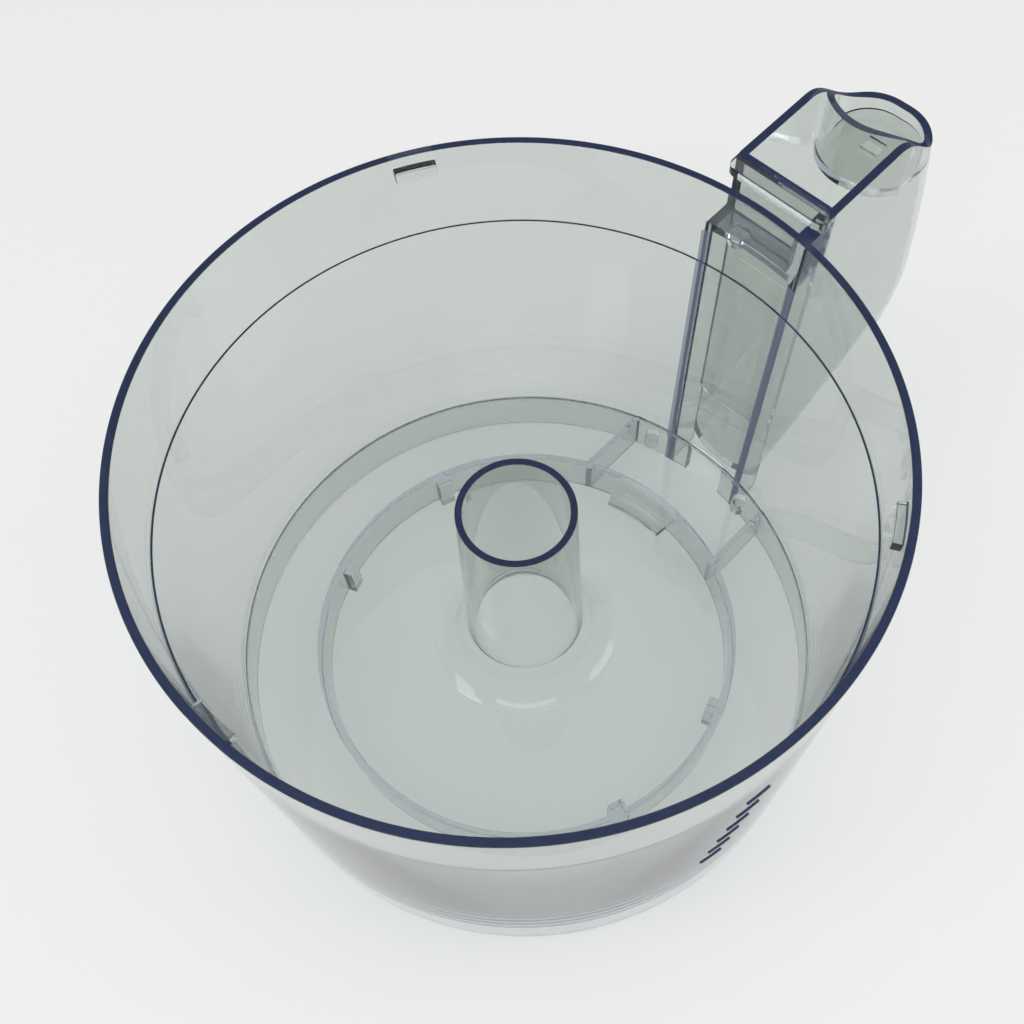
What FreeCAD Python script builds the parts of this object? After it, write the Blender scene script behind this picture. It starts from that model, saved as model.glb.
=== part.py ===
import FreeCAD, Part
import math
import os

# Clear work bowl of a food processor, in millimetres.
# +Z is up the drive axis, +X points along the handle, and the origin is the centre of
# the drive hub's lower mouth, level with the underside of the floor.

V = FreeCAD.Vector
Z_AXIS = V(0, 0, 1)
ORIGIN = V(0, 0, 0)

# --- driving dimensions -------------------------------------------------------------
RIM_R = 95.0            # outer radius of the rim
RIM_Z = 116.0           # height of the rim above the floor's underside
WALL_T = 2.3            # usual thickness of the moulding
FLOOR_T = 2.3           # thickness of the floor
SKIRT_Z = -16.5         # lower edge of the skirt, which the bowl stands on

RIM_IN_R = 92.8         # inner radius at the rim
STEP_Z = RIM_Z - 28.0   # small ledge round the inside, below the lid's spigot
STEP_OUT_R = 94.5       # outer radius at the ledge
STEP_IN_R = 92.4        # inner radius just above the ledge
STEP_W = 0.5            # width of the ledge
FLOOR_IN_R = 90.1       # inner radius where the wall meets the floor
FLOOR_FILLET = 1.5      # inner corner between wall and floor
WALL_FOOT_R = 90.14     # inner radius of the drafted wall just above that corner
FOOT_OUT_R = 93.2       # outer radius at the lower edge of the skirt
SKIRT_IN_R = 90.7       # inner radius of the skirt
RIM_ROUND = 0.5         # rounding of the rim's two top edges

HUB_TOP_Z = RIM_Z - 33.8
HUB_BORE_R = 14.2
HUB_TOP_R = 16.1
HUB_LOW_R = 17.9        # outer radius where the flare begins
HUB_FLARE_R = 31.0      # radius of the flare's foot on the floor
HUB_FLARE_H = 15.5      # height of the flare above the floor
HUB_BEND_R = 21.6       # point half way round the flare's hollow curve
HUB_BEND_Z = 7.65
BELL_TOP_Z = 14.5       # the bore opens out below here, so the flare's wall stays even
BELL_BEND_R = 19.7
BELL_BEND_Z = 5.9
BELL_MOUTH_R = 27.5

LUG_AZIMUTHS = (60.0, 180.0, -60.0)
LUG_SPAN = 7.2          # degrees of arc
LUG_IN_R = 90.2
LUG_TOP_Z = RIM_Z - 3.0
LUG_H = 3.4

RING_IN_R = 65.2        # ring under the floor that drops over the motor base's spigot
RING_OUT_R = 67.7
RING_Z = -13.0
TAB_AZIMUTHS = (70.0, 111.0, -111.0, -70.0)
TAB_IN_R = 62.2
TAB_SPAN = 4.6
LONG_TAB_IN_R = 61.0
LONG_TAB_FROM = -4.0
LONG_TAB_TO = 16.0
LONG_TAB_H = 2.4

RIB_Y = 28.0            # the two ribs run parallel to the handle, either side of it
RIB_T = 2.0
RIB_Z = -14.0
BOSS_R = 2.5
BOSS_AT_R = 87.0
BOSS_AZIMUTHS = (13.0, -13.0)
BOSS_Z = -6.0
SKIRT_GAP_Y = 7.5       # half width of the gap in the skirt below the channel

CHANNEL_Y = 15.8        # half width of the interlock channel, outside
CHANNEL_X = 102.0       # inner face of the channel's outer wall
PLATE_Z = RIM_Z - 14.0  # top face of the plate that closes the channel
PLATE_T = 2.4
CHANNEL_LOW_Z = RIM_Z - 98.0
CHANNEL_LOW_ROUND = 8.0
LEDGE_X = 97.3          # front edge of the ledge that covers the lid tab's recess
LEDGE_ROUND = 3.0       # its two front corners
STOP_T = 4.5            # thickness of the block that the lid's tab stops against
DIMPLE_BOSS_R = 3.2
DIMPLE_BOSS_H = 3.0
DIMPLE_BOSS_XY = (98.2, 7.4)
DIMPLE_R = 0.9
DIMPLE_DEPTH = 1.0
GUIDE_Y = 9.5           # half width of the shallow pad below the plate
GUIDE_H = 9.0
GUIDE_T = 0.8
GUIDE_GAP = 1.0         # from the dimpled boss down to the pad

HANDLE_X = CHANNEL_X + WALL_T
HANDLE_Y = CHANNEL_Y    # half width of the handle
HANDLE_TOP_Z = RIM_Z + 2.5
HANDLE_ROUND = 14.0     # rounding of the grip's two long back edges
THUMB_Z = RIM_Z - 11.5  # lowered top edge at the thumb end
DIP_START_X = 131.0
DIP_END_X = 157.0
DIP_BOW_X = 0.53        # where the middle of each arc of the dip lies, as a share of its
DIP_BOW_Z = 0.73        # run and of its fall
THUMB_X = 161.5         # outermost point of the thumb end
LOW_INNER_Z = SKIRT_Z + 1.5
# Back and underside of the grip from the thumb end down: x, z, then how far the point
# moves in x and in z for each millimetre that the outline is set in.
BACK_POINTS = (
    (167.5, 86.0, -1.0, 0.0),
    (174.0, 60.0, -1.0, 0.0),
    (177.5, 36.0, -1.0, 0.0),
    (169.0, 15.0, -0.75, 0.7),
    (145.5, 1.0, -0.4, 1.0),
)
CUP_AT_X = 145.5        # centre of the thumb cup
CUP_R = 13.0
CUP_FLOOR_Z = RIM_Z - 16.0
CUP_FLOOR_T = 2.0
CUP_SLOT_AT = 0.0       # from the cup's centre out to the slot
CUP_SLOT_X = 5.0
CUP_SLOT_Y = 6.0

MARK_COUNT = 6
MARK_AZIMUTH = -99.0
MARK_DRIFT = -0.8       # degrees that each tick stands further round than the last
MARK_SPAN = 4.4
MARK_TOP_Z = RIM_Z - 38.0
MARK_PITCH = 10.4
MARK_H = 0.9
MARK_PROUD = 0.35
MARK_ROOT = 2.0         # how deep a tick's blank starts inside the wall before trimming

PARTS_DIR = "parts"
OVERLAP = 1.0           # how far cutting tools run past what they cut
INTO_WALL = 10.0        # how deep blanks start inside the bowl before trimming
FAR_X = 200.0           # beyond the handle on every side
FAR_Y = 40.0
FAR_Z = -40.0
NEAR = 0.01             # two places closer than this are the same


# --- helpers ------------------------------------------------------------------------
def revolve(profile):
    """Solid of revolution about the drive axis from (radius, height) corners."""
    corners = [V(r, 0, z) for r, z in profile]
    wire = Part.makePolygon(corners + corners[:1])
    return Part.Face(wire).revolve(ORIGIN, Z_AXIS, 360)


def box(x0, x1, y0, y1, z0, z1):
    return Part.makeBox(x1 - x0, y1 - y0, z1 - z0, V(x0, y0, z0))


def sector(r0, r1, z0, z1, azimuth, span):
    """Block between two radii and two heights, centred on an azimuth in degrees."""
    outer = Part.makeCylinder(r1, z1 - z0, V(0, 0, z0), Z_AXIS, span)
    inner = Part.makeCylinder(r0, z1 - z0 + 2 * OVERLAP, V(0, 0, z0 - OVERLAP), Z_AXIS)
    block = outer.cut(inner)
    block.rotate(ORIGIN, Z_AXIS, azimuth - span / 2)
    return block


def at_azimuth(radius, azimuth, z):
    angle = math.radians(azimuth)
    return V(radius * math.cos(angle), radius * math.sin(angle), z)


def export(name, shape):
    """Write one node; boolean results are reduced to their solids first."""
    solids = shape.Solids
    kept = solids[0] if len(solids) == 1 else Part.makeCompound(solids)
    if not kept.isValid():
        raise ValueError(name + " isn't valid")
    kept.exportStep(os.path.join(PARTS_DIR, name + ".step"))
    box_size = kept.optimalBoundingBox()
    print("%-22s solids %d  volume %8.0f  x %.1f..%.1f  y %.1f..%.1f  z %.1f..%.1f" % (
        name, len(solids), kept.Volume, box_size.XMin, box_size.XMax,
        box_size.YMin, box_size.YMax, box_size.ZMin, box_size.ZMax))


def outer_radius(z):
    """Outside of the drafted wall at a height."""
    if z >= STEP_Z:
        low_z, low_r, high_z, high_r = STEP_Z, STEP_OUT_R, RIM_Z, RIM_R
    else:
        low_z, low_r, high_z, high_r = SKIRT_Z, FOOT_OUT_R, STEP_Z, STEP_OUT_R
    return low_r + (high_r - low_r) * (z - low_z) / (high_z - low_z)


# --- the round body -----------------------------------------------------------------
def rim_band():
    """Upper wall, from the ledge to the flat rim that the lid sits on."""
    return revolve([
        (STEP_IN_R, STEP_Z),
        (STEP_OUT_R, STEP_Z),
        (RIM_R, RIM_Z - RIM_ROUND),
        (RIM_R - RIM_ROUND, RIM_Z),
        (RIM_IN_R + RIM_ROUND, RIM_Z),
        (RIM_IN_R, RIM_Z - RIM_ROUND),
    ])


def bowl_wall():
    """Main wall, from the floor up to the ledge."""
    return revolve([
        (FLOOR_IN_R, FLOOR_T),
        (outer_radius(FLOOR_T), FLOOR_T),
        (STEP_OUT_R, STEP_Z),
        (STEP_IN_R - STEP_W, STEP_Z),
        (WALL_FOOT_R, FLOOR_T + FLOOR_FILLET),
    ])


def bowl_floor():
    """Flat floor from the foot of the hub's flare out to the outside of the wall."""
    return revolve([
        (HUB_FLARE_R, 0),
        (outer_radius(0), 0),
        (outer_radius(FLOOR_T), FLOOR_T),
        (HUB_FLARE_R, FLOOR_T),
    ])


def curve(*points):
    """Circular arc through three (radius, height) points."""
    return Part.Arc(*[V(r, 0, z) for r, z in points]).toShape()


def straight(start, end):
    return Part.makeLine(V(start[0], 0, start[1]), V(end[0], 0, end[1]))


def drive_hub():
    """Open tube round the drive shaft, flaring smoothly into the floor inside and out."""
    flare_top = (HUB_LOW_R, FLOOR_T + HUB_FLARE_H)
    flare_foot = (HUB_FLARE_R, FLOOR_T)
    bell_top = (HUB_BORE_R, BELL_TOP_Z)
    bell_mouth = (BELL_MOUTH_R, 0)
    bore_top = (HUB_BORE_R, HUB_TOP_Z)
    rim_out = (HUB_TOP_R, HUB_TOP_Z)
    under = (HUB_FLARE_R, 0)
    edges = [
        straight(bell_mouth, under),
        straight(under, flare_foot),
        curve(flare_foot, (HUB_BEND_R, HUB_BEND_Z), flare_top),
        straight(flare_top, rim_out),
        straight(rim_out, bore_top),
        straight(bore_top, bell_top),
        curve(bell_top, (BELL_BEND_R, BELL_BEND_Z), bell_mouth),
    ]
    return Part.Face(Part.Wire(edges)).revolve(ORIGIN, Z_AXIS, 360)


def skirt():
    """Foot below the floor, with a gap under the interlock channel."""
    ring = revolve([
        (SKIRT_IN_R, SKIRT_Z),
        (FOOT_OUT_R, SKIRT_Z),
        (outer_radius(0), 0),
        (SKIRT_IN_R, 0),
    ])
    gap = box(0, FAR_X, -SKIRT_GAP_Y, SKIRT_GAP_Y, SKIRT_Z - OVERLAP, 0)
    return ring.cut(gap)


def lid_lug(azimuth):
    """Inward lug just below the rim, which the lid turns under."""
    lug = sector(LUG_IN_R, RIM_R - OVERLAP, LUG_TOP_Z - LUG_H, LUG_TOP_Z, azimuth, LUG_SPAN)
    return lug.cut(rim_band())


def graduation_marks():
    """Plain raised ticks up the outside of the wall, with no figures."""
    marks = []
    for index in range(MARK_COUNT):
        z = MARK_TOP_Z - index * MARK_PITCH
        mark = sector(outer_radius(z) - MARK_ROOT, outer_radius(z) + MARK_PROUD, z - MARK_H, z,
                      MARK_AZIMUTH + index * MARK_DRIFT, MARK_SPAN)
        marks.append(mark.cut(bowl_solid()))
    return Part.makeCompound(marks)


def bowl_solid():
    """The bowl's outside filled in, for trimming what stands against it."""
    return revolve([
        (0, SKIRT_Z),
        (FOOT_OUT_R, SKIRT_Z),
        (STEP_OUT_R, STEP_Z),
        (RIM_R, RIM_Z - RIM_ROUND),
        (RIM_R - RIM_ROUND, RIM_Z),
        (0, RIM_Z),
    ])


# --- under the floor ----------------------------------------------------------------
def locking_ring():
    return revolve([
        (RING_IN_R, RING_Z),
        (RING_OUT_R, RING_Z),
        (RING_OUT_R, 0),
        (RING_IN_R, 0),
    ])


def bayonet_tab(azimuth):
    """Upright tab inside the ring that turns behind a lug of the motor base."""
    return sector(TAB_IN_R, RING_IN_R, RING_Z, 0, azimuth, TAB_SPAN)


def long_bayonet_tab():
    centre = (LONG_TAB_FROM + LONG_TAB_TO) / 2
    span = LONG_TAB_TO - LONG_TAB_FROM
    return sector(LONG_TAB_IN_R, RING_IN_R, RING_Z, RING_Z + LONG_TAB_H, centre, span)


def floor_rib(side):
    """Rib from the locking ring to the skirt; side is +1 or -1."""
    middle = side * RIB_Y
    rib = box(0, RIM_R, middle - RIB_T / 2, middle + RIB_T / 2, RIB_Z, 0)
    outer = Part.makeCylinder(SKIRT_IN_R, -RIB_Z, V(0, 0, RIB_Z))
    inner = Part.makeCylinder(RING_OUT_R, -RIB_Z, V(0, 0, RIB_Z))
    return rib.common(outer).cut(inner)


def floor_boss(azimuth):
    centre = at_azimuth(BOSS_AT_R, azimuth, BOSS_Z)
    return Part.makeCylinder(BOSS_R, -BOSS_Z, centre)


# --- interlock channel ---------------------------------------------------------------
def channel_web(side):
    """Upright web from the bowl's wall to the channel's outer wall."""
    outer_y = side * CHANNEL_Y
    inner_y = side * (CHANNEL_Y - WALL_T)
    web = box(RIM_R - INTO_WALL, HANDLE_X, min(outer_y, inner_y), max(outer_y, inner_y),
              SKIRT_Z, PLATE_Z)
    return web.cut(bowl_solid()).cut(channel_outer_wall())


def channel_top_plate():
    reach = CHANNEL_Y - WALL_T
    plate = box(RIM_R - INTO_WALL, CHANNEL_X, -reach, reach, PLATE_Z - PLATE_T, PLATE_Z)
    return plate.cut(bowl_solid())


def channel_outer_wall():
    """Outer wall of the channel, which is also the handle's inner wall."""
    wall = box(CHANNEL_X, HANDLE_X, -CHANNEL_Y, CHANNEL_Y, CHANNEL_LOW_Z, HANDLE_TOP_Z)
    low_corners = [edge for edge in wall.Edges
                   if abs(edge.BoundBox.ZMax - CHANNEL_LOW_Z) < NEAR
                   and edge.BoundBox.XLength > WALL_T - NEAR]
    return wall.makeFillet(CHANNEL_LOW_ROUND, low_corners)


def plate_boss():
    """Round boss with a dimple under the plate, at the lid tab's entry side."""
    x, y = DIMPLE_BOSS_XY
    low = PLATE_Z - PLATE_T - DIMPLE_BOSS_H
    boss = Part.makeCylinder(DIMPLE_BOSS_R, DIMPLE_BOSS_H, V(x, y, low))
    dimple = Part.makeCylinder(DIMPLE_R, DIMPLE_DEPTH, V(x, y, low))
    return boss.cut(dimple)


def guide_pad():
    """Shallow pad on the inner face of the channel's outer wall, below the plate."""
    top = PLATE_Z - PLATE_T - DIMPLE_BOSS_H - GUIDE_GAP
    return box(CHANNEL_X - GUIDE_T, CHANNEL_X, -GUIDE_Y, GUIDE_Y, top - GUIDE_H, top)


def lid_stop():
    """Block above the plate that stops the lid's tab as the lid is turned shut."""
    stop = box(RIM_R - INTO_WALL, CHANNEL_X, -CHANNEL_Y, STOP_T - CHANNEL_Y, PLATE_Z, RIM_Z)
    return stop.cut(bowl_solid())


def lid_tab_ledge():
    """Flat ledge over the recess, level with the handle's top, that holds the tab down."""
    ledge = box(LEDGE_X, CHANNEL_X, -CHANNEL_Y, CHANNEL_Y, RIM_Z, HANDLE_TOP_Z)
    corners = [edge for edge in ledge.Edges
               if abs(edge.BoundBox.XMax - LEDGE_X) < NEAR and edge.BoundBox.YLength < NEAR]
    return ledge.makeFillet(LEDGE_ROUND, corners)


# --- handle --------------------------------------------------------------------------
def back_curve(inset):
    """Back and underside of the grip, seen from the side, moved in by the inset."""
    top = V(THUMB_X - inset, 0, THUMB_Z)
    low = V(HANDLE_X, 0, LOW_INNER_Z + inset)
    between = [V(x + in_x * inset, 0, z + in_z * inset) for x, z, in_x, in_z in BACK_POINTS]
    curve = Part.BSplineCurve()
    curve.interpolate([top] + between + [low])
    return curve.toShape(), top, low


def grip_block(inset, top_z):
    """Handle filled in: its side outline spread to both sides, with rounded back edges."""
    half = HANDLE_Y - inset
    back, top, low = back_curve(inset)
    outline = Part.Wire([
        Part.makeLine(V(HANDLE_X, 0, low.z), V(HANDLE_X, 0, top_z)),
        Part.makeLine(V(HANDLE_X, 0, top_z), V(top.x, 0, top_z)),
        Part.makeLine(V(top.x, 0, top_z), top),
        back,
    ])
    block = Part.Face(outline).extrude(V(0, 2 * half, 0))
    block.translate(V(0, -half, 0))
    back_x = THUMB_X - inset - NEAR
    round_edges = []
    for edge in block.Edges:
        limits = edge.BoundBox
        along_side = limits.YLength < NEAR
        back_edge = limits.XMax > back_x and limits.ZMax < top_z - NEAR
        upright_edge = limits.XLength < NEAR and limits.XMin > back_x
        if along_side and (back_edge or upright_edge):
            round_edges.append(edge)
    return block.makeFillet(HANDLE_ROUND - inset, round_edges)


def across_handle(outline):
    """Spreads an outline in the XZ plane well past both sides of the handle."""
    block = Part.Face(Part.Wire(outline)).extrude(V(0, 2 * FAR_Y, 0))
    block.translate(V(0, -FAR_Y, 0))
    return block


def top_cutter():
    """Everything above the handle's top edge, which dips in an S to the thumb end."""
    mid_x = (DIP_START_X + DIP_END_X) / 2
    mid_z = (HANDLE_TOP_Z + THUMB_Z) / 2
    bow_x = DIP_BOW_X * (mid_x - DIP_START_X)
    bow_z = DIP_BOW_Z * (HANDLE_TOP_Z - mid_z)
    near_x = HANDLE_X - OVERLAP
    high_z = HANDLE_TOP_Z + FAR_Y
    return across_handle([
        straight((near_x, HANDLE_TOP_Z), (DIP_START_X, HANDLE_TOP_Z)),
        curve((DIP_START_X, HANDLE_TOP_Z), (DIP_START_X + bow_x, mid_z + bow_z), (mid_x, mid_z)),
        curve((mid_x, mid_z), (DIP_END_X - bow_x, mid_z - bow_z), (DIP_END_X, THUMB_Z)),
        straight((DIP_END_X, THUMB_Z), (FAR_X, THUMB_Z)),
        straight((FAR_X, THUMB_Z), (FAR_X, high_z)),
        straight((FAR_X, high_z), (near_x, high_z)),
        straight((near_x, high_z), (near_x, HANDLE_TOP_Z)),
    ])


def cup_block(radius, low_z, high_z):
    return Part.makeCylinder(radius, high_z - low_z, V(CUP_AT_X, 0, low_z))


def handle_parts():
    """Handle shell split into its two sides and its back, with the thumb cup inside."""
    above = top_cutter()
    lift = HANDLE_TOP_Z + INTO_WALL
    outer = grip_block(0.0, lift).cut(above)
    cavity = grip_block(WALL_T, lift + OVERLAP)
    shell = outer.cut(cavity)
    inner_space = outer.common(cavity)

    flat = HANDLE_Y - HANDLE_ROUND
    left_side = shell.common(box(HANDLE_X, FAR_X, flat, FAR_Y, FAR_Z, lift))
    right_side = shell.common(box(HANDLE_X, FAR_X, -FAR_Y, -flat, FAR_Z, lift))
    back = shell.common(box(HANDLE_X, FAR_X, -flat, flat, FAR_Z, lift))

    bore = cup_block(CUP_R, CUP_FLOOR_Z - OVERLAP, lift + OVERLAP)
    cup_wall = cup_block(CUP_R + WALL_T, CUP_FLOOR_Z, lift).cut(bore).common(inner_space)
    cup_wall = cup_wall.common(box(HANDLE_X, CUP_AT_X, -FAR_Y, FAR_Y, FAR_Z, lift))

    cup_under_z = CUP_FLOOR_Z - CUP_FLOOR_T
    slot_x = CUP_AT_X + CUP_SLOT_AT
    slot = box(slot_x, slot_x + CUP_SLOT_X, -CUP_SLOT_Y / 2, CUP_SLOT_Y / 2,
               cup_under_z - OVERLAP, CUP_FLOOR_Z + OVERLAP)
    beyond = box(CUP_AT_X, FAR_X, -FAR_Y, FAR_Y, cup_under_z, CUP_FLOOR_Z)
    cup_floor = cup_block(CUP_R + WALL_T, cup_under_z, CUP_FLOOR_Z).fuse(beyond)
    cup_floor = cup_floor.common(inner_space).cut(slot)
    return {
        "handle_side_left": left_side,
        "handle_side_right": right_side,
        "handle_back": back,
        "thumb_cup_wall": cup_wall,
        "thumb_cup_floor": cup_floor,
    }


# --- all nodes -----------------------------------------------------------------------
def build():
    nodes = {
        "rim_band": rim_band(),
        "bowl_wall": bowl_wall(),
        "bowl_floor": bowl_floor(),
        "drive_hub": drive_hub(),
        "skirt": skirt(),
        "locking_ring": locking_ring(),
        "long_bayonet_tab": long_bayonet_tab(),
        "floor_rib_left": floor_rib(1),
        "floor_rib_right": floor_rib(-1),
        "channel_web_left": channel_web(1),
        "channel_web_right": channel_web(-1),
        "channel_top_plate": channel_top_plate(),
        "channel_outer_wall": channel_outer_wall(),
        "plate_boss": plate_boss(),
        "guide_pad": guide_pad(),
        "lid_stop": lid_stop(),
        "lid_tab_ledge": lid_tab_ledge(),
        "graduation_marks": graduation_marks(),
    }
    for number, azimuth in enumerate(LUG_AZIMUTHS, 1):
        nodes["lid_lug_%d" % number] = lid_lug(azimuth)
    for number, azimuth in enumerate(TAB_AZIMUTHS, 1):
        nodes["bayonet_tab_%d" % number] = bayonet_tab(azimuth)
    for number, azimuth in enumerate(BOSS_AZIMUTHS, 1):
        nodes["floor_boss_%d" % number] = floor_boss(azimuth)
    nodes.update(handle_parts())
    return nodes


os.makedirs(PARTS_DIR, exist_ok=True)
for node_name, node_shape in build().items():
    export(node_name, node_shape)
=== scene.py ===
import math

import bmesh
import bpy
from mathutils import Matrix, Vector


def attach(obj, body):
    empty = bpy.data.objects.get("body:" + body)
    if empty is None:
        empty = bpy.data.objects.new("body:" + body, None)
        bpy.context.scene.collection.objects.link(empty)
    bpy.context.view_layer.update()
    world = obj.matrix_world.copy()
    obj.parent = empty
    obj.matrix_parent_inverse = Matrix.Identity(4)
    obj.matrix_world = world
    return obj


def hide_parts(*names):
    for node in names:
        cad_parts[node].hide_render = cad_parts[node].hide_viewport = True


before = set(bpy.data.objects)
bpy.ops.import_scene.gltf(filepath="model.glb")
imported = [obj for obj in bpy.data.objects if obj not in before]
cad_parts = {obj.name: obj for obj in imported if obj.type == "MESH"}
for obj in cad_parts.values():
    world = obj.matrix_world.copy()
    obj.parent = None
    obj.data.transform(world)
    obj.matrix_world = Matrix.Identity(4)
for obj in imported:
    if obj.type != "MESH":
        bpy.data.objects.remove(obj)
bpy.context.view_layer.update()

# Clear work bowl in metres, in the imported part's frame: +Z up the drive axis, +X along the
# handle, origin at the centre of the hub's lower mouth. MM turns millimetres into metres.
MM = 0.001

# --- bowl ----------------------------------------------------------------------------
RIM_R = 95.0 * MM
RIM_Z = 116.0 * MM
RIM_IN_R = 92.8 * MM
RIM_ROUND = 0.5 * MM
WALL_T = 2.3 * MM
FLOOR_T = 2.3 * MM
SKIRT_Z = -16.5 * MM
STEP_Z = 88.0 * MM
STEP_OUT_R = 94.5 * MM
STEP_IN_R = 92.4 * MM
STEP_W = 0.5 * MM
FLOOR_IN_R = 90.1 * MM
FLOOR_FILLET = 1.5 * MM
FOOT_OUT_R = 93.2 * MM
SKIRT_IN_R = 90.7 * MM

HUB_TOP_Z = 82.2 * MM
HUB_BORE_R = 14.2 * MM
HUB_TOP_R = 16.1 * MM
HUB_LOW_R = 17.9 * MM
HUB_FLARE_R = 31.0 * MM
HUB_FLARE_H = 15.5 * MM
HUB_BEND_R = 21.6 * MM
HUB_BEND_Z = 7.65 * MM
# hollow under the hub's flare; the bore widens down to its top, as mould draft would do
BELL_TOP_R = 16.0 * MM
BELL_TOP_Z = 14.5 * MM
BELL_BEND_R = 20.1 * MM
BELL_BEND_Z = 5.9 * MM
BELL_MOUTH_R = 27.5 * MM

RING_IN_R = 65.2 * MM
RING_OUT_R = 67.7 * MM
RING_Z = -13.0 * MM

LUG_AZIMUTHS = (60.0, 180.0, -60.0)
LUG_SPAN = 7.2
LUG_IN_R = 90.2 * MM
LUG_TOP_Z = 113.0 * MM
LUG_H = 3.4 * MM
TAB_AZIMUTHS = (70.0, 111.0, -111.0, -70.0)
TAB_IN_R = 62.2 * MM
TAB_SPAN = 4.6
LONG_TAB_IN_R = 61.0 * MM
LONG_TAB_AZIMUTH = 6.0
LONG_TAB_SPAN = 20.0
LONG_TAB_H = 2.4 * MM
RIB_Y = 28.0 * MM
RIB_T = 2.0 * MM
RIB_Z = -14.0 * MM
BOSS_R = 2.5 * MM
BOSS_AT_R = 87.0 * MM
BOSS_AZIMUTHS = (13.0, -13.0)
BOSS_Z = -6.0 * MM
SKIRT_GAP_Y = 7.5 * MM

CHANNEL_Y = 15.8 * MM
CHANNEL_X = 102.0 * MM
HANDLE_X = CHANNEL_X + WALL_T
PLATE_Z = 102.0 * MM
PLATE_T = 2.4 * MM
CHANNEL_LOW_Z = 18.0 * MM
CHANNEL_LOW_ROUND = 8.0 * MM
LEDGE_X = 97.3 * MM
LEDGE_ROUND = 3.0 * MM
STOP_T = 4.5 * MM
DIMPLE_BOSS_R = 3.2 * MM
DIMPLE_BOSS_H = 3.0 * MM
DIMPLE_BOSS_XY = (98.2 * MM, 7.4 * MM)
DIMPLE_R = 0.9 * MM
DIMPLE_DEPTH = 1.0 * MM
GUIDE_Y = 9.5 * MM
GUIDE_TOP_Z = 95.6 * MM
GUIDE_H = 9.0 * MM
GUIDE_T = 0.8 * MM

HANDLE_Y = CHANNEL_Y
HANDLE_TOP_Z = 118.5 * MM
HANDLE_ROUND = 14.0 * MM
THUMB_Z = 104.5 * MM
DIP_START_X = 131.0 * MM
DIP_END_X = 157.0 * MM
CUP_AT_X = 145.5 * MM
CUP_R = 13.0 * MM
CUP_FLOOR_Z = 100.0 * MM
CUP_FLOOR_T = 2.0 * MM
CUP_SLOT_FROM_X = 145.5 * MM
CUP_SLOT_TO_X = 150.5 * MM
CUP_SLOT_Y = 6.0 * MM
# back and underside of the grip from the thumb end down, in millimetres
BACK_POINTS = ((161.5, 104.5), (167.5, 86.0), (173.9, 60.0), (177.2, 36.0), (169.0, 15.0),
               (145.5, 1.1), (104.3, -14.8))

MARK_COUNT = 6
MARK_AZIMUTH = -99.0
MARK_DRIFT = -0.8
MARK_SPAN = 4.4
MARK_TOP_Z = 78.0 * MM
MARK_PITCH = 10.4 * MM
MARK_H = 0.9 * MM
MARK_PROUD = 0.35 * MM

ROUND_SEGMENTS = 320
EDGE = 0.35 * MM        # usual rounding of a moulded edge
RING_EDGE = 0.45 * MM   # the same on the hub's rim, the foot and the locking ring
SINK = 1.0 * MM         # how far a feature runs into the wall that it grows from
WEB_LOW_X = 90.5 * MM   # where the webs' blanks start inside the drafted wall, low and high
WEB_HIGH_X = 92.3 * MM
PLATE_IN_X = 92.6 * MM
STOP_IN_X = 93.4 * MM
GAP_FROM_X = 85.0 * MM  # the skirt's gap is cut from here to here
GAP_TO_X = 100.0 * MM
FAR = 200.0 * MM        # past the handle on every side
FAR_SIDE = 50.0 * MM
ABOVE = 10.0 * MM       # how far blanks and cutters run past what they cut
SHARP_ANGLE = 30.0      # edges sharper than this stay sharp in the shading
FLOOR_DROP = 0.2 * MM   # the bowl stands this far above the studio floor

# share of a face that looks dull instead of clear, and its colour: a faint haze on every face,
# then painted navy shade on end-on faces where light runs along the plastic
FACE_VEIL = 0.012, (0.12, 0.14, 0.17, 1)
TOP_PAINTED_SHADE = 0.85, (0.022, 0.032, 0.075, 1)
WEB_PAINTED_SHADE = 0.65, (0.16, 0.19, 0.26, 1)
PLATE_PAINTED_SHADE = 0.40, (0.06, 0.07, 0.12, 1)
STOP_PAINTED_SHADE = 0.55, (0.022, 0.034, 0.085, 1)
# where the painted navy shade lies on the plate, lid stop, webs and tops
SHADE_INNER_X = 92.9 * MM    # plate and lid stop, from the bowl's wall outward
WEB_INNER_X = 88.0 * MM     # webs, from the wall's inner face outward
SHADE_SLACK = 0.2 * MM       # masks reach this far past the features that they cover
LEDGE_MARGIN = 0.4 * MM     # the ledge is left clear from this far past its inner edge
LUG_MARGIN = 0.3 * MM       # and the lugs are to this far above and below them
OUTSIDE_X = 93.5 * MM       # past this, only tops above the channel's plate are tinted
STEEP = 0.7                 # a face's normal counts as along an axis above this


# --- meshes --------------------------------------------------------------------------
def new_object(name, verts, faces):
    mesh = bpy.data.meshes.new(name)
    mesh.from_pydata(verts, [], faces)
    mesh.update()
    obj = bpy.data.objects.new(name, mesh)
    bpy.context.scene.collection.objects.link(obj)
    return obj


def fix_normals(obj):
    bm = bmesh.new()
    bm.from_mesh(obj.data)
    bmesh.ops.recalc_face_normals(bm, faces=bm.faces)
    bm.to_mesh(obj.data)
    bm.free()


def revolve(name, profile, segments=ROUND_SEGMENTS):
    """Closed ring solid from a closed loop of (radius, height) points off the axis."""
    count = len(profile)
    verts = []
    for step in range(segments):
        angle = 2 * math.pi * step / segments
        cos_a, sin_a = math.cos(angle), math.sin(angle)
        verts += [(r * cos_a, r * sin_a, z) for r, z in profile]
    faces = []
    for step in range(segments):
        here, there = step * count, (step + 1) % segments * count
        for i in range(count):
            j = (i + 1) % count
            faces.append((here + i, there + i, there + j, here + j))
    obj = new_object(name, verts, faces)
    fix_normals(obj)
    return obj


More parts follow.
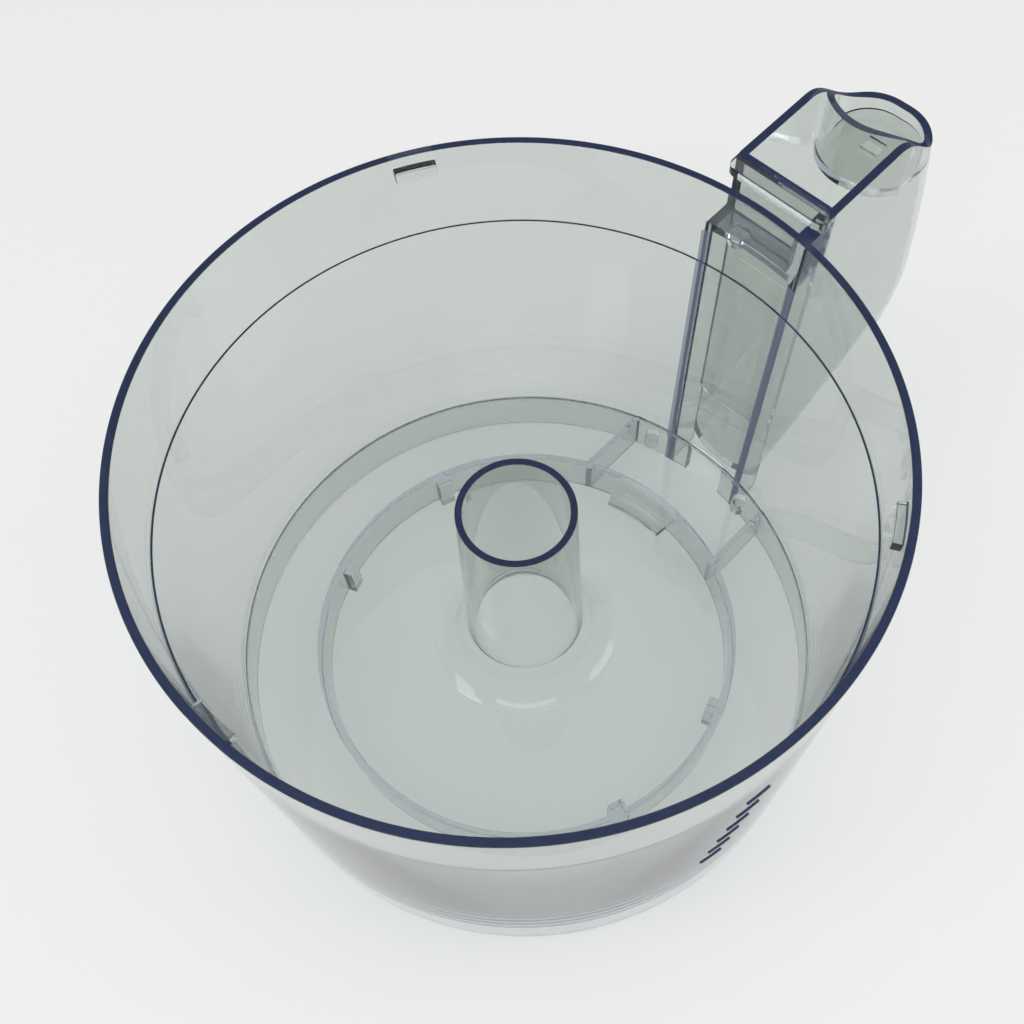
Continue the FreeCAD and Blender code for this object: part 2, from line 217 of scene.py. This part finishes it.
def curve_through(start, bend, end, steps):
    """Points of the circular arc through three (radius, height) points."""
    ax, ay = start
    bx, by = bend
    cx, cy = end
    d = 2 * (ax * (by - cy) + bx * (cy - ay) + cx * (ay - by))
    a2, b2, c2 = ax * ax + ay * ay, bx * bx + by * by, cx * cx + cy * cy
    ux = (a2 * (by - cy) + b2 * (cy - ay) + c2 * (ay - by)) / d
    uy = (a2 * (cx - bx) + b2 * (ax - cx) + c2 * (bx - ax)) / d
    radius = math.hypot(ax - ux, ay - uy)
    t0 = math.atan2(ay - uy, ax - ux)
    t1 = math.atan2(cy - uy, cx - ux)
    tm = math.atan2(by - uy, bx - ux)
    turn = (t1 - t0) % (2 * math.pi)
    if (tm - t0) % (2 * math.pi) > turn:
        turn -= 2 * math.pi
    return [(ux + radius * math.cos(t0 + turn * k / steps),
             uy + radius * math.sin(t0 + turn * k / steps)) for k in range(steps + 1)]


def corner(at, before, after, steps=4):
    """Rounded corner: a quadratic blend from one point to another past the corner."""
    points = []
    for k in range(steps + 1):
        t = k / steps
        points.append(tuple((1 - t) ** 2 * before[i] + 2 * t * (1 - t) * at[i] + t * t * after[i]
                            for i in range(2)))
    return points


def prism(name, outline, y0, y1):
    """Solid between two planes of Y from a closed outline of (x, z) points."""
    count = len(outline)
    verts = [(x, y, z) for y in (y0, y1) for x, z in outline]
    faces = [tuple(range(count)), tuple(range(2 * count - 1, count - 1, -1))]
    faces += [(i, (i + 1) % count, count + (i + 1) % count, count + i) for i in range(count)]
    obj = new_object(name, verts, faces)
    fix_normals(obj)
    return obj


def round_edges(obj, width, steps=2):
    bm = bmesh.new()
    bm.from_mesh(obj.data)
    bmesh.ops.bevel(bm, geom=bm.edges, offset=width, segments=steps, profile=0.5,
                    affect="EDGES", clamp_overlap=True)
    bm.to_mesh(obj.data)
    bm.free()
    return obj


def block(x0, x1, y0, y1, z0, z1, edge=EDGE):
    obj = prism("block", [(x0, z0), (x1, z0), (x1, z1), (x0, z1)], y0, y1)
    return round_edges(obj, edge) if edge else obj


def sector(r0, r1, z0, z1, azimuth, span, edge=EDGE):
    """Block between two radii and two heights, centred on an azimuth in degrees."""
    steps = max(2, round(span / 1.2))
    verts = []
    for k in range(steps + 1):
        angle = math.radians(azimuth - span / 2 + span * k / steps)
        for r, z in ((r0, z0), (r1, z0), (r1, z1), (r0, z1)):
            verts.append((r * math.cos(angle), r * math.sin(angle), z))
    faces = [(0, 1, 2, 3), tuple(4 * steps + i for i in (3, 2, 1, 0))]
    for k in range(steps):
        for i in range(4):
            j = (i + 1) % 4
            faces.append((4 * k + i, 4 * k + j, 4 * k + 4 + j, 4 * k + 4 + i))
    obj = new_object("sector", verts, faces)
    fix_normals(obj)
    if edge:
        bm = bmesh.new()
        bm.from_mesh(obj.data)
        sharp = [e for e in bm.edges if e.calc_face_angle(0) > math.radians(30)]
        bmesh.ops.bevel(bm, geom=sharp, offset=edge, segments=2, profile=0.5,
                        affect="EDGES", clamp_overlap=True)
        bm.to_mesh(obj.data)
        bm.free()
    return obj


def cylinder(x, y, radius, z0, z1, steps=64, edge=0.0):
    ring = [(x + radius * math.cos(2 * math.pi * k / steps),
             y + radius * math.sin(2 * math.pi * k / steps)) for k in range(steps)]
    verts = [(px, py, z) for z in (z0, z1) for px, py in ring]
    faces = [tuple(range(steps)), tuple(range(2 * steps - 1, steps - 1, -1))]
    faces += [(i, (i + 1) % steps, steps + (i + 1) % steps, steps + i) for i in range(steps)]
    obj = new_object("cylinder", verts, faces)
    fix_normals(obj)
    if edge:
        bm = bmesh.new()
        bm.from_mesh(obj.data)
        rims = [e for e in bm.edges if e.calc_face_angle(0) > math.radians(60)]
        bmesh.ops.bevel(bm, geom=rims, offset=edge, segments=2, profile=0.5, affect="EDGES")
        bm.to_mesh(obj.data)
        bm.free()
    return obj


def combine(base, operation, *tools):
    """Applies one boolean per tool to base, then deletes the tools."""
    for tool in tools:
        step = base.modifiers.new(operation, "BOOLEAN")
        step.operation = operation
        step.solver = "MANIFOLD"
        step.object = tool
    graph = bpy.context.evaluated_depsgraph_get()
    mesh = bpy.data.meshes.new_from_object(base.evaluated_get(graph))
    base.modifiers.clear()
    base.data = mesh
    for tool in tools:
        bpy.data.objects.remove(tool)
    return base


# --- the bowl's round moulding ---------------------------------------------------------
def outer_radius(z):
    if z >= STEP_Z:
        low_z, low_r, high_z, high_r = STEP_Z, STEP_OUT_R, RIM_Z, RIM_R
    else:
        low_z, low_r, high_z, high_r = SKIRT_Z, FOOT_OUT_R, STEP_Z, STEP_OUT_R
    return low_r + (high_r - low_r) * (z - low_z) / (high_z - low_z)


def bowl_profile():
    """Section of the bowl from the bore round the inside, over the rim and under the floor."""
    flare_top = FLOOR_T + HUB_FLARE_H
    edge = RING_EDGE
    section = curve_through((BELL_MOUTH_R, 0), (BELL_BEND_R, BELL_BEND_Z),
                            (BELL_TOP_R, BELL_TOP_Z), 16)
    section += [(HUB_BORE_R, HUB_TOP_Z - edge)]
    section += corner((HUB_BORE_R, HUB_TOP_Z), (HUB_BORE_R, HUB_TOP_Z - edge),
                      (HUB_BORE_R + edge, HUB_TOP_Z))[1:]
    section += corner((HUB_TOP_R, HUB_TOP_Z), (HUB_TOP_R - edge, HUB_TOP_Z),
                      (HUB_TOP_R, HUB_TOP_Z - edge))
    section += curve_through((HUB_LOW_R, flare_top), (HUB_BEND_R, HUB_BEND_Z),
                             (HUB_FLARE_R, FLOOR_T), 16)
    section += [(40 * MM, FLOOR_T), (60 * MM, FLOOR_T), (80 * MM, FLOOR_T)]
    section += corner((FLOOR_IN_R, FLOOR_T), (FLOOR_IN_R - FLOOR_FILLET, FLOOR_T),
                      (FLOOR_IN_R + 0.04 * MM, FLOOR_T + FLOOR_FILLET), 8)
    ledge_in = STEP_IN_R - STEP_W
    section += [(ledge_in, STEP_Z - 0.15 * MM), (ledge_in + 0.1 * MM, STEP_Z)]
    section += [(STEP_IN_R - 0.05 * MM, STEP_Z), (STEP_IN_R, STEP_Z + 0.1 * MM)]
    section += corner((RIM_IN_R, RIM_Z), (RIM_IN_R, RIM_Z - RIM_ROUND),
                      (RIM_IN_R + RIM_ROUND, RIM_Z))
    section += corner((RIM_R, RIM_Z), (RIM_R - RIM_ROUND, RIM_Z), (RIM_R, RIM_Z - RIM_ROUND))
    section += [(STEP_OUT_R, STEP_Z)]
    section += [(outer_radius(z * MM), z * MM) for z in (60, 30, 0)]
    section += corner((FOOT_OUT_R, SKIRT_Z), (outer_radius(SKIRT_Z + edge), SKIRT_Z + edge),
                      (FOOT_OUT_R - edge, SKIRT_Z))
    section += corner((SKIRT_IN_R, SKIRT_Z), (SKIRT_IN_R + edge, SKIRT_Z),
                      (SKIRT_IN_R, SKIRT_Z + edge))
    section += [(SKIRT_IN_R, 0), (80 * MM, 0), (RING_OUT_R, 0)]
    section += corner((RING_OUT_R, RING_Z), (RING_OUT_R, RING_Z + edge),
                      (RING_OUT_R - edge, RING_Z))
    section += corner((RING_IN_R, RING_Z), (RING_IN_R + edge, RING_Z),
                      (RING_IN_R, RING_Z + edge))
    section += [(RING_IN_R, 0), (45 * MM, 0)]
    return section


def bowl_details():
    """Lugs, tabs, ribs and bosses that grow from the round moulding."""
    parts = []
    for azimuth in LUG_AZIMUTHS:
        parts.append(sector(LUG_IN_R, RIM_IN_R + SINK, LUG_TOP_Z - LUG_H, LUG_TOP_Z,
                            azimuth, LUG_SPAN))
    for azimuth in TAB_AZIMUTHS:
        parts.append(sector(TAB_IN_R, RING_IN_R + SINK, RING_Z, SINK, azimuth, TAB_SPAN))
    parts.append(sector(LONG_TAB_IN_R, RING_IN_R + SINK, RING_Z, RING_Z + LONG_TAB_H,
                        LONG_TAB_AZIMUTH, LONG_TAB_SPAN))
    for side in (1, -1):
        y0 = side * RIB_Y - RIB_T / 2
        near_x = math.sqrt((RING_OUT_R - SINK) ** 2 - RIB_Y ** 2)
        far_x = math.sqrt((SKIRT_IN_R + SINK) ** 2 - RIB_Y ** 2)
        parts.append(block(near_x, far_x, y0, y0 + RIB_T, RIB_Z, SINK))
    for azimuth in BOSS_AZIMUTHS:
        angle = math.radians(azimuth)
        parts.append(cylinder(BOSS_AT_R * math.cos(angle), BOSS_AT_R * math.sin(angle),
                              BOSS_R, BOSS_Z, SINK, edge=EDGE))
    return parts


# --- interlock channel -----------------------------------------------------------------
def channel_web(side):
    """Upright web that starts inside the bowl's drafted wall."""
    y0, y1 = sorted((side * CHANNEL_Y, side * (CHANNEL_Y - WALL_T)))
    end_x = CHANNEL_X + SINK
    outline = [(WEB_LOW_X, SKIRT_Z), (HANDLE_X, SKIRT_Z), (HANDLE_X, CHANNEL_LOW_Z + 2 * SINK),
               (end_x, CHANNEL_LOW_Z + 10 * SINK), (end_x, PLATE_Z), (WEB_HIGH_X, PLATE_Z),
               (WEB_LOW_X, 0)]
    return round_edges(prism("web", outline, y0, y1), EDGE)


def channel_outer_wall():
    wall = prism("outer_wall", [(CHANNEL_X, CHANNEL_LOW_Z), (HANDLE_X, CHANNEL_LOW_Z),
                                (HANDLE_X, HANDLE_TOP_Z), (CHANNEL_X, HANDLE_TOP_Z)],
                 -CHANNEL_Y, CHANNEL_Y)
    bm = bmesh.new()
    bm.from_mesh(wall.data)
    low = [e for e in bm.edges if all(v.co.z < CHANNEL_LOW_Z + EDGE for v in e.verts)
           and abs(e.verts[0].co.x - e.verts[1].co.x) > EDGE]
    bmesh.ops.bevel(bm, geom=low, offset=CHANNEL_LOW_ROUND, segments=12, profile=0.5,
                    affect="EDGES")
    sharp = [e for e in bm.edges if e.calc_face_angle(0) > math.radians(60)]
    bmesh.ops.bevel(bm, geom=sharp, offset=EDGE, segments=2, profile=0.5, affect="EDGES")
    bm.to_mesh(wall.data)
    bm.free()
    return wall


def lid_tab_ledge():
    """Flat ledge over the lid tab's recess, with its two front corners rounded."""
    ledge = prism("ledge", [(LEDGE_X, RIM_Z), (CHANNEL_X + SINK, RIM_Z),
                            (CHANNEL_X + SINK, HANDLE_TOP_Z), (LEDGE_X, HANDLE_TOP_Z)],
                  -CHANNEL_Y, CHANNEL_Y)
    bm = bmesh.new()
    bm.from_mesh(ledge.data)
    front = [e for e in bm.edges if all(v.co.x < LEDGE_X + EDGE for v in e.verts)
             and abs(e.verts[0].co.z - e.verts[1].co.z) > EDGE]
    bmesh.ops.bevel(bm, geom=front, offset=LEDGE_ROUND, segments=10, profile=0.5,
                    affect="EDGES")
    sharp = [e for e in bm.edges if e.calc_face_angle(0) > math.radians(60)]
    bmesh.ops.bevel(bm, geom=sharp, offset=EDGE, segments=2, profile=0.5, affect="EDGES")
    bm.to_mesh(ledge.data)
    bm.free()
    return ledge


def channel_parts():
    parts = [channel_web(1), channel_web(-1), channel_outer_wall()]
    reach = CHANNEL_Y - WALL_T / 2
    parts.append(block(PLATE_IN_X, CHANNEL_X + SINK, -reach, reach, PLATE_Z - PLATE_T, PLATE_Z))
    x, y = DIMPLE_BOSS_XY
    low = PLATE_Z - PLATE_T - DIMPLE_BOSS_H
    boss = cylinder(x, y, DIMPLE_BOSS_R, low, PLATE_Z - SINK, edge=EDGE)
    dimple = cylinder(x, y, DIMPLE_R, low - SINK, low + DIMPLE_DEPTH, steps=32)
    parts.append(combine(boss, "DIFFERENCE", dimple))
    parts.append(block(CHANNEL_X - GUIDE_T, CHANNEL_X + SINK, -GUIDE_Y, GUIDE_Y,
                       GUIDE_TOP_Z - GUIDE_H, GUIDE_TOP_Z, edge=0.2 * MM))
    parts.append(block(STOP_IN_X, CHANNEL_X + SINK, -CHANNEL_Y, STOP_T - CHANNEL_Y,
                       PLATE_Z - SINK, RIM_Z))
    parts.append(lid_tab_ledge())
    return parts


# --- handle ----------------------------------------------------------------------------
def smooth_curve(points, steps):
    """Points of a smooth curve through the given ones."""
    count = len(points)
    gaps = [math.dist(points[i], points[i + 1]) for i in range(count - 1)]
    slopes = []
    for i in range(count):
        a, b = max(i - 1, 0), min(i + 1, count - 1)
        span = sum(gaps[a:b])
        slopes.append(tuple((points[b][k] - points[a][k]) / span for k in range(2)))
    curve = []
    for i in range(count - 1):
        for step in range(steps):
            t = step / steps
            h0, h1 = 2 * t ** 3 - 3 * t ** 2 + 1, t ** 3 - 2 * t ** 2 + t
            h2, h3 = 3 * t ** 2 - 2 * t ** 3, t ** 3 - t ** 2
            curve.append(tuple(h0 * points[i][k] + h1 * gaps[i] * slopes[i][k]
                               + h2 * points[i + 1][k] + h3 * gaps[i] * slopes[i + 1][k]
                               for k in range(2)))
    return curve + [tuple(points[-1])]


def grip_solid(inset, front_x, top_z):
    """Handle filled in: rows along its back curve, each rounded across from side to side."""
    curve = smooth_curve([(x * MM, z * MM) for x, z in BACK_POINTS], 12)
    (ax, az), (bx, bz) = curve[0], curve[1]
    lead = (top_z - az) / (bz - az)
    curve.insert(0, (ax + (bx - ax) * lead, top_z))
    (ax, az), (bx, bz) = curve[-2], curve[-1]
    lead = (front_x - 30 * MM - bx) / (bx - ax)
    curve.append((bx + (bx - ax) * lead, bz + (bz - az) * lead))
    half = HANDLE_Y - inset
    bend = HANDLE_ROUND - inset
    around = 14
    rows = []
    for k, (x, z) in enumerate(curve):
        (x0, z0), (x1, z1) = curve[max(k - 1, 0)], curve[min(k + 1, len(curve) - 1)]
        length = math.hypot(x1 - x0, z1 - z0)
        in_x, in_z = (z1 - z0) / length, -(x1 - x0) / length
        row = []
        for step in range(2 * around + 2):
            if step <= around:
                turn, side = math.pi / 2 * step / around, 1
            else:
                turn, side = math.pi / 2 * (2 * around + 1 - step) / around, -1
            depth = inset + bend * (1 - math.sin(turn))
            y = side * (half - bend + bend * math.cos(turn))
            row.append((x + in_x * depth, y, z + in_z * depth))
        rows.append(row)
    across = len(rows[0])
    verts = [p for row in rows for p in row]
    faces = []
    for k in range(len(rows) - 1):
        for j in range(across - 1):
            a = k * across + j
            faces.append((a, a + 1, a + across + 1, a + across))
    far_x = front_x - 60 * MM
    low_z = rows[-1][0][2]
    base = len(verts)
    for y in (half, -half):
        verts += [(far_x, y, top_z + 20 * MM), (far_x, y, low_z)]
    last = (len(rows) - 1) * across
    faces.append([base, base + 1] + [k * across for k in range(len(rows) - 1, -1, -1)])
    faces.append([base + 3, base + 2] + [k * across + across - 1 for k in range(len(rows))])
    faces.append([base] + list(range(across)) + [base + 2])
    faces.append([base + 1, base + 3] + [last + j for j in range(across - 1, -1, -1)])
    faces.append([base, base + 2, base + 3, base + 1])
    solid = new_object("grip", verts, faces)
    fix_normals(solid)
    cutter = prism("front_cutter", [(far_x - 0.1, -0.5), (front_x, -0.5), (front_x, 0.5),
                                    (far_x - 0.1, 0.5)], -0.2, 0.2)
    return combine(solid, "DIFFERENCE", cutter)


def top_cutter():
    """Everything above the handle's top edge, which dips in an S to the thumb end."""
    outline = [(HANDLE_X - 20 * MM, HANDLE_TOP_Z)]
    steps = 24
    for k in range(steps + 1):
        t = k / steps
        ease = t * t * (3 - 2 * t)
        outline.append((DIP_START_X + (DIP_END_X - DIP_START_X) * t,
                        HANDLE_TOP_Z + (THUMB_Z - HANDLE_TOP_Z) * ease))
    outline += [(0.3, THUMB_Z), (0.3, 0.3), (HANDLE_X - 20 * MM, 0.3)]
    return prism("top_cutter", outline, -0.1, 0.1)


def cup_solid():
    """Walls and floor of the thumb cup, before they are trimmed to the handle's inside."""
    top = HANDLE_TOP_Z + 2 * ABOVE
    low = CUP_FLOOR_Z - CUP_FLOOR_T
    wall = cylinder(CUP_AT_X, 0, CUP_R + WALL_T, low, top, steps=128)
    beyond = block(CUP_AT_X, FAR, -FAR_SIDE, FAR_SIDE, low - ABOVE, top + ABOVE, edge=0)
    wall = combine(wall, "DIFFERENCE", beyond)
    floor = block(CUP_AT_X - 2 * SINK, FAR - ABOVE, ABOVE - FAR_SIDE, FAR_SIDE - ABOVE,
                  low, CUP_FLOOR_Z, edge=0)
    bore = cylinder(CUP_AT_X, 0, CUP_R, CUP_FLOOR_Z, top + ABOVE, steps=128)
    slot = block(CUP_SLOT_FROM_X, CUP_SLOT_TO_X, -CUP_SLOT_Y / 2, CUP_SLOT_Y / 2,
                 low - ABOVE / 2, CUP_FLOOR_Z + ABOVE / 2, edge=0)
    return combine(combine(wall, "UNION", floor), "DIFFERENCE", bore, slot)


def handle_shell():
    """Hollow handle, open at the top, with the thumb cup left standing in its hollow."""
    outer = grip_solid(0.0, HANDLE_X - SINK, HANDLE_TOP_Z + ABOVE)
    cavity = grip_solid(WALL_T, HANDLE_X, HANDLE_TOP_Z + 1.4 * ABOVE)
    cavity = combine(cavity, "DIFFERENCE", cup_solid())
    return combine(outer, "DIFFERENCE", cavity, top_cutter())


def graduation_marks():
    """Stack of short raised ticks on the near side of the wall, as one object."""
    marks = []
    for index in range(MARK_COUNT):
        z = MARK_TOP_Z - index * MARK_PITCH
        marks.append(sector(outer_radius(z) - 0.02 * MM, outer_radius(z) + MARK_PROUD,
                            z - MARK_H, z, MARK_AZIMUTH + index * MARK_DRIFT, MARK_SPAN,
                            edge=0.1 * MM))
    bm = bmesh.new()
    for mark in marks:
        bm.from_mesh(mark.data)
        bpy.data.objects.remove(mark)
    mesh = bpy.data.meshes.new("graduation_marks_printed")
    bm.to_mesh(mesh)
    bm.free()
    obj = bpy.data.objects.new("graduation_marks_printed", mesh)
    bpy.context.scene.collection.objects.link(obj)
    return obj


# --- materials -------------------------------------------------------------------------
def node(tree, kind, **values):
    """New node with its sockets set by name, spaces written as underscores."""
    made = tree.nodes.new("ShaderNode" + kind)
    for key, value in values.items():
        made.inputs[key.replace("_", " ")].default_value = value
    return made


def calc(tree, operation, *inputs):
    """Maths node over numbers and sockets; returns its output socket."""
    made = tree.nodes.new("ShaderNodeMath")
    made.operation = operation
    for socket, value in zip(made.inputs, inputs):
        if isinstance(value, float):
            socket.default_value = value
        else:
            tree.links.new(value, socket)
    return made.outputs[0]


def within(tree, value, low, high):
    """1 where the value lies between two limits, and 0 elsewhere."""
    return calc(tree, "COMPARE", value, (low + high) / 2, (high - low) / 2)


def painted_shade_masks(tree, place):
    """Masks for painted navy shade on faces with a long depth of plastic behind them: tops,
    webs, plate, stop.
    """
    axes = tree.nodes.new("ShaderNodeSeparateXYZ")
    tree.links.new(place, axes.inputs[0])
    x, y, z = axes.outputs
    facing = tree.nodes.new("ShaderNodeNewGeometry")
    turned = tree.nodes.new("ShaderNodeSeparateXYZ")
    tree.links.new(facing.outputs["Normal"], turned.inputs[0])
    off_side = calc(tree, "ABSOLUTE", y)

    upward = calc(tree, "GREATER_THAN", turned.outputs[2], STEEP)
    outside = calc(tree, "GREATER_THAN", x, OUTSIDE_X)
    low_inside = HUB_TOP_Z - 0.7 * MM
    low_outside = PLATE_Z + 0.5 * MM
    lowest = calc(tree, "MULTIPLY_ADD", outside, low_outside - low_inside, low_inside)
    tops = calc(tree, "MULTIPLY", upward, calc(tree, "GREATER_THAN", z, lowest))
    ledge = calc(tree, "MULTIPLY", within(tree, x, LEDGE_X + LEDGE_MARGIN, CHANNEL_X),
                 calc(tree, "GREATER_THAN", z, RIM_Z - 0.5 * MM))
    lugs = calc(tree, "MULTIPLY", calc(tree, "LESS_THAN", x, RIM_IN_R + 0.5 * MM),
                within(tree, z, LUG_TOP_Z - LUG_H - LUG_MARGIN, LUG_TOP_Z + LUG_MARGIN))
    left_out = calc(tree, "MAXIMUM", ledge, lugs)
    tops = calc(tree, "SUBTRACT", tops, calc(tree, "MULTIPLY", tops, left_out))

    web_in_y = CHANNEL_Y - WALL_T - SHADE_SLACK
    webs = calc(tree, "MULTIPLY", within(tree, x, WEB_INNER_X, HANDLE_X),
                within(tree, off_side, web_in_y, CHANNEL_Y + SHADE_SLACK))
    webs = calc(tree, "MULTIPLY", webs, within(tree, z, SKIRT_Z - MM, PLATE_Z - PLATE_T))
    across = calc(tree, "LESS_THAN", calc(tree, "ABSOLUTE", turned.outputs[1]), STEEP)
    webs = calc(tree, "MULTIPLY", webs, across)

    channel = within(tree, x, SHADE_INNER_X, CHANNEL_X + SHADE_SLACK)
    plate = calc(tree, "MULTIPLY", channel, within(tree, off_side, -MM, CHANNEL_Y + SHADE_SLACK))
    plate_low = PLATE_Z - PLATE_T - SHADE_SLACK
    plate = calc(tree, "MULTIPLY", plate, within(tree, z, plate_low, PLATE_Z + SHADE_SLACK))

    stop_end_y = STOP_T - CHANNEL_Y + SHADE_SLACK
    stop = calc(tree, "MULTIPLY", channel, within(tree, y, -CHANNEL_Y - SHADE_SLACK, stop_end_y))
    stop = calc(tree, "MULTIPLY", stop, within(tree, z, PLATE_Z, RIM_Z - 0.5 * MM))
    return tops, webs, plate, stop


def clear_plastic(name):
    """Clear moulded plastic: colourless face on, painted dark blue shade where light runs along
    a wall.
    """
    mat = bpy.data.materials.new(name)
    mat.use_nodes = True
    tree = mat.node_tree
    tree.nodes.clear()
    link = tree.links.new
    out = tree.nodes.new("ShaderNodeOutputMaterial")

    place = tree.nodes.new("ShaderNodeTexCoord")
    streaks = node(tree, "TexNoise", Scale=140.0, Detail=3.0)
    stretch = node(tree, "Mapping", Scale=(1.0, 1.0, 0.12))
    link(place.outputs["Object"], stretch.inputs["Vector"])
    link(stretch.outputs[0], streaks.inputs["Vector"])
    scuffs = node(tree, "TexNoise", Scale=900.0, Detail=4.0)
    link(place.outputs["Object"], scuffs.inputs["Vector"])
    rough = node(tree, "MapRange", From_Min=0.45, From_Max=0.75, To_Min=0.012, To_Max=0.05)
    link(scuffs.outputs[0], rough.inputs["Value"])
    bump = node(tree, "Bump", Strength=0.05, Distance=0.0002)
    link(streaks.outputs[0], bump.inputs["Height"])

    glass = node(tree, "BsdfPrincipled", Base_Color=(0.775, 0.808, 0.772, 1),
                 Transmission_Weight=1.0, IOR=1.52)
    link(rough.outputs[0], glass.inputs["Roughness"])
    link(bump.outputs[0], glass.inputs["Normal"])

    tops, webs, plate, stop = painted_shade_masks(tree, place.outputs["Object"])
    body = glass.outputs[0]
    # a faint haze over every face, then painted navy shade on the webs, plate, lid stop and
    # tops, where light runs a long way through the plastic
    layers = ((FACE_VEIL, None), (WEB_PAINTED_SHADE, webs), (PLATE_PAINTED_SHADE, plate), (STOP_PAINTED_SHADE, stop),
              (TOP_PAINTED_SHADE, tops))
    for (share, colour), mask in layers:
        haze_and_shade_coat = node(tree, "BsdfDiffuse", Color=colour)
        mix = tree.nodes.new("ShaderNodeMixShader")
        mix.inputs[0].default_value = share
        if mask:
            link(calc(tree, "MULTIPLY", mask, share), mix.inputs[0])
        link(body, mix.inputs[1])
        link(haze_and_shade_coat.outputs[0], mix.inputs[2])
        body = mix.outputs[0]

    # light on its way to what lies under and behind the plastic passes almost unchanged
    path = tree.nodes.new("ShaderNodeLightPath")
    soft_side = node(tree, "BsdfTransparent", Color=(0.97, 0.975, 0.97, 1))
    soft = tree.nodes.new("ShaderNodeMixShader")
    link(path.outputs["Is Diffuse Ray"], soft.inputs[0])
    link(body, soft.inputs[1])
    link(soft_side.outputs[0], soft.inputs[2])
    lamp_side = node(tree, "BsdfTransparent", Color=(0.93, 0.95, 0.94, 1))
    whole = tree.nodes.new("ShaderNodeMixShader")
    link(path.outputs["Is Shadow Ray"], whole.inputs[0])
    link(soft.outputs[0], whole.inputs[1])
    link(lamp_side.outputs[0], whole.inputs[2])
    link(whole.outputs[0], out.inputs["Surface"])

    absorb = node(tree, "VolumeAbsorption", Color=(0.08, 0.16, 0.38, 1), Density=19.0)
    link(absorb.outputs[0], out.inputs["Volume"])
    return mat


def printed_ink(name):
    mat = bpy.data.materials.new(name)
    mat.use_nodes = True
    bsdf = mat.node_tree.nodes["Principled BSDF"]
    bsdf.inputs["Base Color"].default_value = (0.03, 0.04, 0.09, 1)
    bsdf.inputs["Roughness"].default_value = 0.4
    return mat


def floor_material():
    mat = bpy.data.materials.new("pale_floor")
    mat.use_nodes = True
    bsdf = mat.node_tree.nodes["Principled BSDF"]
    bsdf.inputs["Base Color"].default_value = (0.77, 0.775, 0.77, 1)
    bsdf.inputs["Roughness"].default_value = 0.8
    return mat


def use(obj, material):
    obj.data.materials.clear()
    obj.data.materials.append(material)


def soften(obj):
    """Shades rounded edges smoothly while the flat faces stay flat."""
    obj.data.polygons.foreach_set("use_smooth", [True] * len(obj.data.polygons))
    obj.data.set_sharp_from_angle(angle=math.radians(SHARP_ANGLE))
    weight = obj.modifiers.new("weighted_normals", "WEIGHTED_NORMAL")
    weight.keep_sharp = True
    weight.weight = 80


def softbox(name, location, size, watts):
    """Soft rectangular light that faces the bowl's centre."""
    light = bpy.data.lights.new(name, "AREA")
    light.shape = "RECTANGLE"
    light.size, light.size_y = size
    light.energy = watts
    obj = bpy.data.objects.new(name, light)
    obj.location = location
    obj.rotation_euler = (-Vector(location)).to_track_quat("-Z", "Y").to_euler()
    bpy.context.scene.collection.objects.link(obj)


# --- the object -------------------------------------------------------------------------
bowl = revolve("clear_moulding", bowl_profile())
gap = block(GAP_FROM_X, GAP_TO_X, -SKIRT_GAP_Y, SKIRT_GAP_Y, SKIRT_Z - SINK, 0, edge=0)
combine(bowl, "DIFFERENCE", gap)
combine(bowl, "UNION", *bowl_details(), *channel_parts(), handle_shell())
use(bowl, clear_plastic("clear_plastic"))
soften(bowl)
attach(bowl, "root")
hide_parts(*[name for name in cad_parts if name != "graduation_marks"])

marks = graduation_marks()
use(marks, printed_ink("printed_marks"))
soften(marks)
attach(marks, "root")
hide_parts("graduation_marks")

# --- studio ----------------------------------------------------------------------------
corners = [(-6, -6, 0), (6, -6, 0), (6, 6, 0), (-6, 6, 0)]
floor = new_object("studio_floor", corners, [(0, 1, 2, 3)])
floor.location.z = SKIRT_Z - FLOOR_DROP
use(floor, floor_material())

softbox("window_left", (-0.9, 0.5, 1.3), (0.45, 0.7), 3.2)
softbox("window_near", (-0.75, -0.65, 1.25), (1.3, 0.3), 4.0)
softbox("window_right", (0.9, -0.9, 1.2), (0.9, 0.45), 4.0)

world = bpy.data.worlds.new("studio")
bpy.context.scene.world = world
world.use_nodes = True
sky = world.node_tree.nodes["Background"]
sky.inputs["Color"].default_value = (1.0, 1.0, 1.0, 1)
sky.inputs["Strength"].default_value = 0.84

# --- camera and light paths --------------------------------------------------------------
camera_data = bpy.data.cameras.new("camera")
camera_data.lens = 40.344
camera_data.sensor_width = 36.0
camera_data.shift_x = -0.0427
camera_data.shift_y = 0.0956
camera_data.clip_start = 0.01
camera_data.clip_end = 50.0
camera = bpy.data.objects.new("camera", camera_data)
camera.location = (-0.09725, -0.10801, 0.34376)
camera.rotation_euler = [math.radians(a) for a in (24.033, 0.589, -47.121)]
bpy.context.scene.collection.objects.link(camera)
bpy.context.scene.camera = camera

bpy.context.scene.view_settings.view_transform = "Standard"
bounces = bpy.context.scene.cycles
bounces.max_bounces = 24
bounces.transmission_bounces = 24
bounces.glossy_bounces = 12
bounces.transparent_max_bounces = 32
